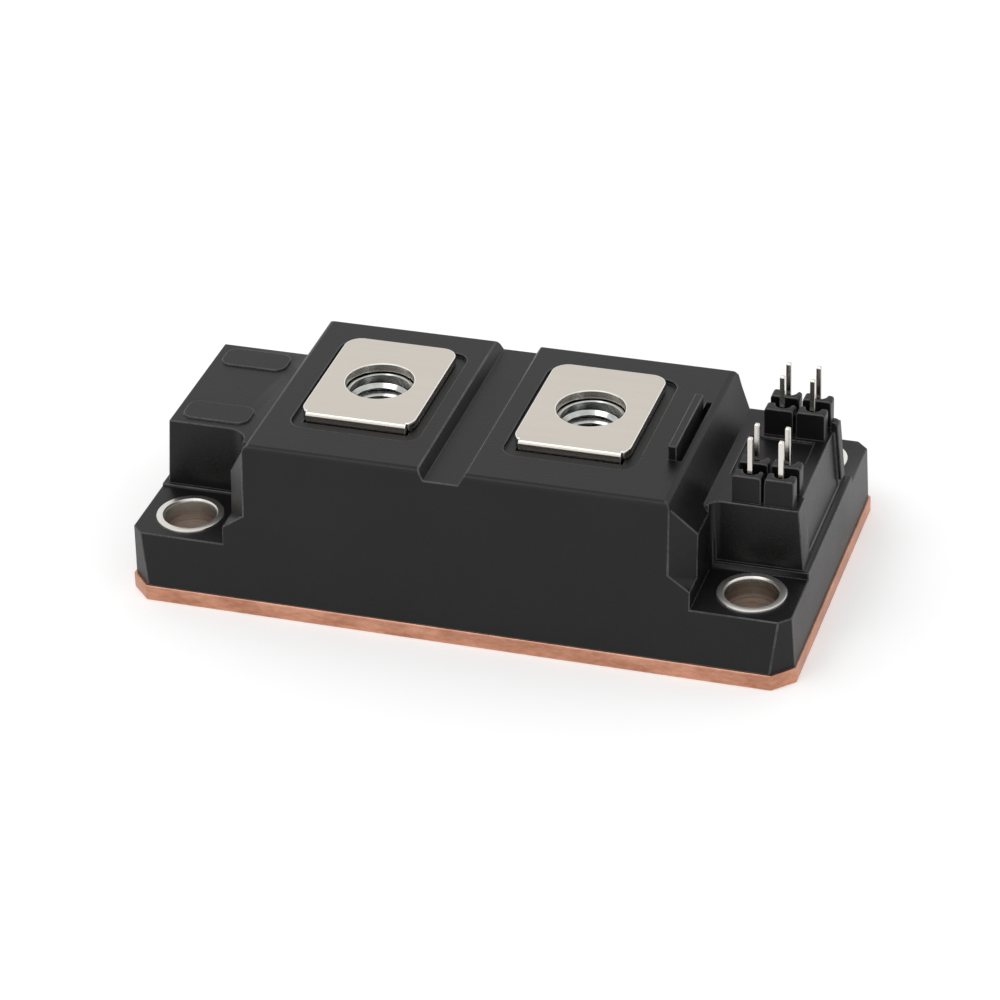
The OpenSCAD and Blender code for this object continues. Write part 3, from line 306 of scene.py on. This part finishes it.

# stretch lengthens the relief along an axis, so that it reads as rolling or turning marks
# each finish's edge colour is painted along its rounded edges by edgeAmount: a painted highlight
# where it is lighter than the two tones
finishes = {
    "housing_plastic": {"dark": (0.0040, 0.0040, 0.0042), "light": (0.0062, 0.0062, 0.0065),
                        "edge": (0.14, 0.14, 0.145),
                        "edgeWidth": 0.26, "edgeAmount": 0.75, "rough": (0.36, 0.41), "metal": 0.0,
                        "patch": 70, "speckle": 1400, "grain": 2600,
                        "depth": 0.06, "strength": 0.45,
                        "stretch": (1, 1, 1), "specular": 0.27},
    # the housing's bevel faces, painted lighter than the plastic: a painted highlight along its
    # edges
    "housing_edge_highlight": {"dark": (0.020, 0.020, 0.021), "light": (0.060, 0.060, 0.062),
                     "edge": (0.10, 0.10, 0.102),
                     "edgeWidth": 0.10, "edgeAmount": 0.2, "rough": (0.24, 0.32), "metal": 0.0,
                     "patch": 160, "speckle": 1400, "grain": 2600, "depth": 0.03, "strength": 0.3,
                     "stretch": (1, 1, 1), "specular": 0.40},
    "copper": {"dark": (0.44, 0.200, 0.125), "light": (0.66, 0.345, 0.235),
               "edge": (0.95, 0.64, 0.50),
               "edgeWidth": 0.30, "edgeAmount": 0.8, "rough": (0.34, 0.46), "metal": 1.0,
               "patch": 420, "speckle": 2400, "grain": 1800, "depth": 0.02, "strength": 0.35,
               "stretch": (0.35, 0.35, 1), "specular": 0.5},
    "terminal_nickel": {"dark": (0.600, 0.553, 0.495), "light": (0.625, 0.577, 0.518),
                        "edge": (1.0, 0.99, 0.97),
                        "edgeWidth": 0.12, "edgeAmount": 0.3, "rough": (0.25, 0.28), "metal": 1.0,
                        "patch": 60, "speckle": 900, "grain": 1500, "depth": 0.002, "strength": 0.2,
                        "stretch": (0.05, 1, 1), "specular": 0.5},
    # the terminals' bevel faces, painted near white: a painted highlight round their rims and holes
    "terminal_edge_highlight": {"dark": (0.86, 0.85, 0.82), "light": (0.97, 0.96, 0.94),
                      "edge": (1.0, 1.0, 0.98),
                      "edgeWidth": 0.06, "edgeAmount": 0.2, "rough": (0.30, 0.36), "metal": 1.0,
                      "patch": 60, "speckle": 900, "grain": 1500, "depth": 0.002, "strength": 0.2,
                      "stretch": (1, 1, 1), "specular": 0.5},
    "nut_steel": {"dark": (0.42, 0.43, 0.42), "light": (0.56, 0.57, 0.555),
                  "edge": (0.97, 0.97, 0.95),
                  "edgeWidth": 0.12, "edgeAmount": 0.85, "rough": (0.16, 0.24), "metal": 1.0,
                  "patch": 500, "speckle": 2500, "grain": 2000, "depth": 0.006, "strength": 0.25,
                  "stretch": (1, 1, 1), "specular": 0.5},
    "sleeve_steel": {"dark": (0.50, 0.485, 0.445), "light": (0.84, 0.82, 0.775),
                     "edge": (0.97, 0.96, 0.93),
                     "edgeWidth": 0.14, "edgeAmount": 0.6, "rough": (0.22, 0.36), "metal": 1.0,
                     "patch": 320, "speckle": 900, "grain": 700, "depth": 0.05, "strength": 0.7,
                     "stretch": (0.02, 0.02, 2.2), "specular": 0.5},
    "pin_nickel": {"dark": (0.66, 0.63, 0.58), "light": (0.76, 0.73, 0.68),
                   "edge": (0.9, 0.89, 0.86),
                   "edgeWidth": 0.06, "edgeAmount": 0.3, "rough": (0.18, 0.26), "metal": 1.0,
                   "patch": 300, "speckle": 2500, "grain": 2500, "depth": 0.003, "strength": 0.2,
                   "stretch": (1, 1, 0.1), "specular": 0.5},
    "ceramic": {"dark": (0.74, 0.74, 0.70), "light": (0.82, 0.82, 0.79), "edge": (0.9, 0.9, 0.88),
                "edgeWidth": 0.1, "edgeAmount": 0.2, "rough": (0.55, 0.7), "metal": 0.0,
                "patch": 300, "speckle": 2500, "grain": 3500, "depth": 0.01, "strength": 0.3,
                "stretch": (1, 1, 1), "specular": 0.5},
    "silicon": {"dark": (0.26, 0.28, 0.33), "light": (0.33, 0.35, 0.40), "edge": (0.2, 0.2, 0.25),
                "edgeWidth": 0.1, "edgeAmount": 0.4, "rough": (0.15, 0.25), "metal": 0.8,
                "patch": 400, "speckle": 3000, "grain": 4000, "depth": 0.004, "strength": 0.2,
                "stretch": (1, 1, 1), "specular": 0.5},
    "solder": {"dark": (0.38, 0.38, 0.39), "light": (0.52, 0.52, 0.53), "edge": (0.6, 0.6, 0.6),
               "edgeWidth": 0.1, "edgeAmount": 0.3, "rough": (0.35, 0.55), "metal": 1.0,
               "patch": 400, "speckle": 2500, "grain": 2500, "depth": 0.02, "strength": 0.4,
               "stretch": (1, 1, 1), "specular": 0.5},
    "bond_wire": {"dark": (0.72, 0.72, 0.73), "light": (0.82, 0.82, 0.83), "edge": (0.9, 0.9, 0.9),
                  "edgeWidth": 0.05, "edgeAmount": 0.2, "rough": (0.2, 0.3), "metal": 1.0,
                  "patch": 500, "speckle": 4000, "grain": 4000, "depth": 0.004, "strength": 0.3,
                  "stretch": (1, 1, 1), "specular": 0.5},
    "gel": {"dark": (0.74, 0.78, 0.80), "light": (0.82, 0.86, 0.88), "edge": (0.85, 0.88, 0.9),
            "edgeWidth": 0.2, "edgeAmount": 0.2, "rough": (0.12, 0.2), "metal": 0.0,
            "patch": 100, "speckle": 800, "grain": 500, "depth": 0.02, "strength": 0.2,
            "stretch": (1, 1, 1), "specular": 0.5},
    "adhesive": {"dark": (0.17, 0.17, 0.18), "light": (0.24, 0.24, 0.25), "edge": (0.3, 0.3, 0.3),
                 "edgeWidth": 0.1, "edgeAmount": 0.2, "rough": (0.5, 0.65), "metal": 0.0,
                 "patch": 300, "speckle": 1500, "grain": 1200, "depth": 0.04, "strength": 0.4,
                 "stretch": (1, 1, 1), "specular": 0.5},
}


def makeFinish(name, look):
    material = bpy.data.materials.new(name + "Finish")
    material.use_nodes = True
    tree = material.node_tree
    shader = tree.nodes["Principled BSDF"]
    coordinates = tree.nodes.new("ShaderNodeTexCoord")
    tone = tree.nodes.new("ShaderNodeGroup")
    tone.node_tree = toneHighlightGroup
    for key, value in (("Patch Scale", look["patch"]), ("Speckle Scale", look["speckle"]),
                       ("Edge Width", look["edgeWidth"] * mm), ("Edge Amount", look["edgeAmount"]),
                       ("Rough Low", look["rough"][0]), ("Rough High", look["rough"][1])):
        tone.inputs[key].default_value = value
    for key in ("Dark", "Light", "Edge"):
        tone.inputs[key].default_value = (*look[key.lower()], 1)
    stretched = tree.nodes.new("ShaderNodeMapping")
    stretched.inputs["Scale"].default_value = look["stretch"]
    tree.links.new(coordinates.outputs["Object"], stretched.inputs["Vector"])
    tree.links.new(stretched.outputs["Vector"], tone.inputs["Vector"])
    grain = tree.nodes.new("ShaderNodeGroup")
    grain.node_tree = grainGroup
    tree.links.new(stretched.outputs["Vector"], grain.inputs["Vector"])
    grain.inputs["Scale"].default_value = look["grain"]
    grain.inputs["Depth"].default_value = look["depth"] * mm
    grain.inputs["Strength"].default_value = look["strength"]
    tree.links.new(tone.outputs["Colour"], shader.inputs["Base Color"])
    tree.links.new(tone.outputs["Roughness"], shader.inputs["Roughness"])
    tree.links.new(grain.outputs["Normal"], shader.inputs["Normal"])
    shader.inputs["Metallic"].default_value = look["metal"]
    shader.inputs["Specular IOR Level"].default_value = look["specular"]
    return material


finishMaterials = {name: makeFinish(name, look) for name, look in finishes.items()}
slotOfNode = {part["node"]: part["material_slot"] for part in frame["record"]["subparts"]}
for nodeName, node in nodes.items():
    for place in node.material_slots:
        place.material = finishMaterials[slotOfNode[nodeName]]
print("finishes made:", len(finishMaterials))

sleeveNodes = [name for name in nodes if name.startswith("sleeve_")]
# edges nearer a sleeve's axis than sleeveRoom, or lower over the plate than footRoom, stay sharp
housingLook = {"edge": 0.2, "segments": 3, "sleeveRoom": 6.3, "footRoom": 0.2}


def makeHousing():
    piece = copyNode("housing", "mouldedHousing")
    sleevePlaces = [middleOf(nodeName) for nodeName in sleeveNodes]
    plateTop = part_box("base_plate")[1][2] / mm

    def keep(middle):
        if middle.z < plateTop + housingLook["footRoom"]:
            return False
        return all(math.hypot(middle.x - x, middle.y - y) > housingLook["sleeveRoom"]
                   for x, y in sleevePlaces)

    # the housing's bevel faces take a lighter material, a painted highlight along its edges
    count = roundEdges(piece, housingLook["edge"], segments=housingLook["segments"], keep=keep,
                       edgeHighlightMaterial=finishMaterials["housing_edge_highlight"])
    addPiece(piece, "housing_plastic", "housing")
    print("housing: edges softened", count, "faces", len(piece.data.polygons))


makeHousing()

softCopies = {
    "base_plate": {"name": "copperPlate", "edge": 0.22, "slot": "copper"},
    "left_terminal": {"name": "leftTerminalSheet", "edge": 0.16, "slot": "terminal_nickel",
                      "rim": "terminal_edge_highlight"},
    "right_terminal": {"name": "rightTerminalSheet", "edge": 0.16, "slot": "terminal_nickel",
                       "rim": "terminal_edge_highlight"},
}
for number in range(1, 9):
    softCopies["control_pin_%d" % number] = {"name": "controlPin%d" % number, "edge": 0.07,
                                            "slot": "pin_nickel"}


def makeSoftCopies():
    for nodeName, look in softCopies.items():
        piece = copyNode(nodeName, look["name"])
        # where a piece names a rim material, its bevel faces take it: a painted highlight along the
        # terminals' edges
        roundEdges(piece, look["edge"], segments=2, edgeHighlightMaterial=finishMaterials.get(look.get("rim")))
        addPiece(piece, look["slot"], nodeName)
    print("plate, terminals and pins made")


makeSoftCopies()

sleeveLook = {"wall": 0.8, "flange": 0.9, "bore": 4.2, "lip": 0.14,
              "mouthWidth": 0.26, "mouthDepth": 0.6, "steps": 96}


def makeSleeves():
    for nodeName in sleeveNodes:
        low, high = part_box(nodeName)
        centre = middleOf(nodeName)
        bottom, top = low[2] / mm, high[2] / mm
        flangeRadius = (high[0] - low[0]) / 2 / mm
        bore, lip = sleeveLook["bore"], sleeveLook["lip"]
        tube = bore + sleeveLook["wall"]
        mouthWidth, mouthDepth = sleeveLook["mouthWidth"], sleeveLook["mouthDepth"]
        under = top - sleeveLook["flange"]
        profile = [(bore, bottom), (tube, bottom), (tube, under), (flangeRadius, under),
                   (flangeRadius, top - lip), (flangeRadius - lip * 0.3, top - lip * 0.3),
                   (flangeRadius - lip, top),
                   (bore + mouthWidth, top), (bore + mouthWidth * 0.55, top - mouthDepth * 0.18),
                   (bore + mouthWidth * 0.2, top - mouthDepth * 0.55), (bore, top - mouthDepth)]
        words = nodeName.split("_")
        pieceName = "sleeve" + words[1].title() + words[2].title()
        piece = ringPiece(pieceName, profile, centre, sleeveLook["steps"])
        smoothByAngle(piece, 40)
        addPiece(piece, "sleeve_steel", nodeName)
    print("sleeves made")


makeSleeves()

# the drill's inner radius is next to nothing, so that its profile turns into a closed ring
nutLook = {"crest": 4.25, "root": 4.95, "rootOverlap": 0.12, "pitch": 1.5, "turns": 4,
           "firstTurn": 1.3, "sink": 5.1, "edge": 0.25, "collar": 6.4, "collarHeight": 0.5,
           "collarEdge": 0.12, "drillAxis": 0.0001, "drillPast": 1, "steps": 72}


def makeNut(nodeName, name):
    low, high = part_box(nodeName)
    centre = ((low[0] + high[0]) / 2, (low[1] + high[1]) / 2)
    bottom, top = low[2], high[2]
    height = top - bottom
    acrossCorners = (high[0] - low[0]) / 2
    deselectAll()
    bpy.ops.mesh.primitive_cylinder_add(vertices=6, radius=acrossCorners, depth=height,
                                        location=(centre[0], centre[1], (top + bottom) / 2),
                                        rotation=(0, 0, math.radians(30)))
    body = bpy.context.object
    body.name = name
    applyPlace(body)
    makeActive(body)
    bpy.ops.object.mode_set(mode="EDIT")
    bpy.ops.mesh.select_all(action="SELECT")
    bpy.ops.mesh.bevel(offset=nutLook["edge"] * mm, segments=2, affect="EDGES")
    bpy.ops.object.mode_set(mode="OBJECT")
    # a low washer face round the bore, then the bore at the thread's root, countersunk at each end
    deselectAll()
    collar = nutLook["collarHeight"] * mm
    bpy.ops.mesh.primitive_cylinder_add(vertices=nutLook["steps"], radius=nutLook["collar"] * mm,
                                        depth=collar * 2, location=(centre[0], centre[1], top))
    washer = bpy.context.object
    applyPlace(washer)
    makeActive(washer)
    bpy.ops.object.mode_set(mode="EDIT")
    bpy.ops.mesh.select_all(action="SELECT")
    bpy.ops.mesh.bevel(offset=nutLook["collarEdge"] * mm, segments=2, affect="EDGES")
    bpy.ops.object.mode_set(mode="OBJECT")
    joined = body.modifiers.new("washerFace", "BOOLEAN")
    joined.operation = "UNION"
    joined.solver = "EXACT"
    joined.object = washer
    applyModifiers(body)
    bpy.data.objects.remove(washer)
    top = top + collar
    root, sink = nutLook["root"], nutLook["sink"]
    step = sink - root
    foot, head = bottom / mm, top / mm
    axis, past = nutLook["drillAxis"], nutLook["drillPast"]
    profile = [(axis, foot - past), (sink, foot - past), (sink, foot), (root, foot + step),
               (root, head - step), (sink, head), (sink, head + past), (axis, head + past)]
    drill = ringPiece("nutDrill", profile, (centre[0] / mm, centre[1] / mm), nutLook["steps"])
    cut = body.modifiers.new("bore", "BOOLEAN")
    cut.operation = "DIFFERENCE"
    cut.solver = "EXACT"
    cut.object = drill
    applyModifiers(body)
    bpy.data.objects.remove(drill)
    # thread: a triangular ridge wound down the bore
    deselectAll()
    bpy.ops.mesh.primitive_circle_add(vertices=4, radius=1 * mm)
    ridge = bpy.context.object
    half = nutLook["pitch"] / 2
    base, crest = root + nutLook["rootOverlap"], nutLook["crest"]
    section = [(base, -half * 0.98), (crest, -half * 0.12),
               (crest, half * 0.12), (base, half * 0.98)]
    for vertex, (radius, z) in zip(ridge.data.vertices, section):
        vertex.co = Vector((radius, 0, z)) * mm
    winding = ridge.modifiers.new("winding", "SCREW")
    winding.axis = "Z"
    winding.angle = 2 * math.pi
    winding.screw_offset = nutLook["pitch"] * mm
    winding.iterations = nutLook["turns"]
    winding.steps = nutLook["steps"]
    winding.render_steps = nutLook["steps"]
    winding.use_merge_vertices = False
    applyModifiers(ridge)
    bpy.ops.object.mode_set(mode="EDIT")
    bpy.ops.mesh.select_all(action="DESELECT")
    bpy.ops.mesh.select_non_manifold()
    bpy.ops.mesh.edge_face_add()
    bpy.ops.mesh.select_all(action="SELECT")
    bpy.ops.mesh.normals_make_consistent(inside=False)
    bpy.ops.object.mode_set(mode="OBJECT")
    ridge.location = (centre[0], centre[1], bottom + nutLook["firstTurn"] * mm)
    applyPlace(ridge)
    deselectAll()
    ridge.select_set(True)
    body.select_set(True)
    bpy.context.view_layer.objects.active = body
    bpy.ops.object.join()
    smoothByAngle(body, 35)
    addPiece(body, "nut_steel", nodeName)


makeNut("left_terminal_nut", "leftThreadedNut")
makeNut("right_terminal_nut", "rightThreadedNut")
print("nuts made")

studio = {"floorSize": 6.0, "floorColour": 0.86, "floorGlow": 0.23, "skyLight": 0.86,
          "keyPower": 1.4, "keySize": 0.42, "keyPlace": (-0.26, -0.30, 0.90),
          "fillPower": 0.5, "fillSize": 0.7, "fillPlace": (-0.15, -0.85, 0.45)}


def seenByEye(tree):
    # 1 for camera, glossy and transmission rays, so that metal mirrors the same pale surroundings
    path = tree.nodes.new("ShaderNodeLightPath")
    total = mathNode(tree, "ADD", path.outputs["Is Camera Ray"], path.outputs["Is Glossy Ray"])
    total = mathNode(tree, "ADD", total, path.outputs["Is Transmission Ray"])
    return mathNode(tree, "MINIMUM", total, 1.0)


def makeFloor():
    deselectAll()
    bpy.ops.mesh.primitive_plane_add(size=studio["floorSize"], location=(0, 0, 0))
    floor = bpy.context.object
    floor.name = "floor"
    bpy.ops.object.mode_set(mode="EDIT")
    bpy.ops.mesh.subdivide(number_cuts=1)
    bpy.ops.object.mode_set(mode="OBJECT")
    material = bpy.data.materials.new("paleFloor")
    material.use_nodes = True
    tree = material.node_tree
    tree.nodes.remove(tree.nodes["Principled BSDF"])
    matt = tree.nodes.new("ShaderNodeBsdfDiffuse")
    matt.inputs["Color"].default_value = (studio["floorColour"],) * 3 + (1,)
    glow = tree.nodes.new("ShaderNodeEmission")
    strength = mathNode(tree, "MULTIPLY", seenByEye(tree), studio["floorGlow"])
    tree.links.new(strength, glow.inputs["Strength"])
    both = tree.nodes.new("ShaderNodeAddShader")
    tree.links.new(matt.outputs[0], both.inputs[0])
    tree.links.new(glow.outputs[0], both.inputs[1])
    tree.links.new(both.outputs[0], tree.nodes["Material Output"].inputs["Surface"])
    floor.data.materials.append(material)


def makeSky():
    # a soft even light, and white wherever it is seen or mirrored
    world = bpy.data.worlds.new("studioSky")
    world.use_nodes = True
    bpy.context.scene.world = world
    tree = world.node_tree
    background = tree.nodes["Background"]
    background.inputs["Color"].default_value = (1, 1, 1, 1)
    strength = rangeNode(tree, seenByEye(tree), 0.0, 1.0, studio["skyLight"], 1.0)
    tree.links.new(strength, background.inputs["Strength"])


def makeLamp(name, power, size, place):
    deselectAll()
    bpy.ops.object.light_add(type="AREA", location=place)
    lamp = bpy.context.object
    lamp.name = name
    lamp.data.shape = "SQUARE"
    lamp.data.size = size
    lamp.data.energy = power
    lamp.rotation_euler = Vector(place).to_track_quat("Z", "Y").to_euler()


cameraLook = {"place": (0.17134, -0.52048, 0.34838), "turn": (58.2266, 1.7985, 17.1902),
              "lens": 142.769, "sensor": 36, "clipStart": 0.01}


def makeCamera():
    deselectAll()
    turn = [math.radians(angle) for angle in cameraLook["turn"]]
    bpy.ops.object.camera_add(location=cameraLook["place"], rotation=turn)
    camera = bpy.context.object
    camera.data.lens = cameraLook["lens"]
    camera.data.sensor_width = cameraLook["sensor"]
    camera.data.clip_start = cameraLook["clipStart"]
    camera.data.dof.use_dof = False
    bpy.context.scene.camera = camera


makeFloor()
makeSky()
makeLamp("keyLamp", studio["keyPower"], studio["keySize"], studio["keyPlace"])
makeLamp("fillLamp", studio["fillPower"], studio["fillSize"], studio["fillPlace"])
makeCamera()
bpy.context.scene.view_settings.view_transform = "Standard"
print("studio made")

deselectAll()
bpy.context.view_layer.update()
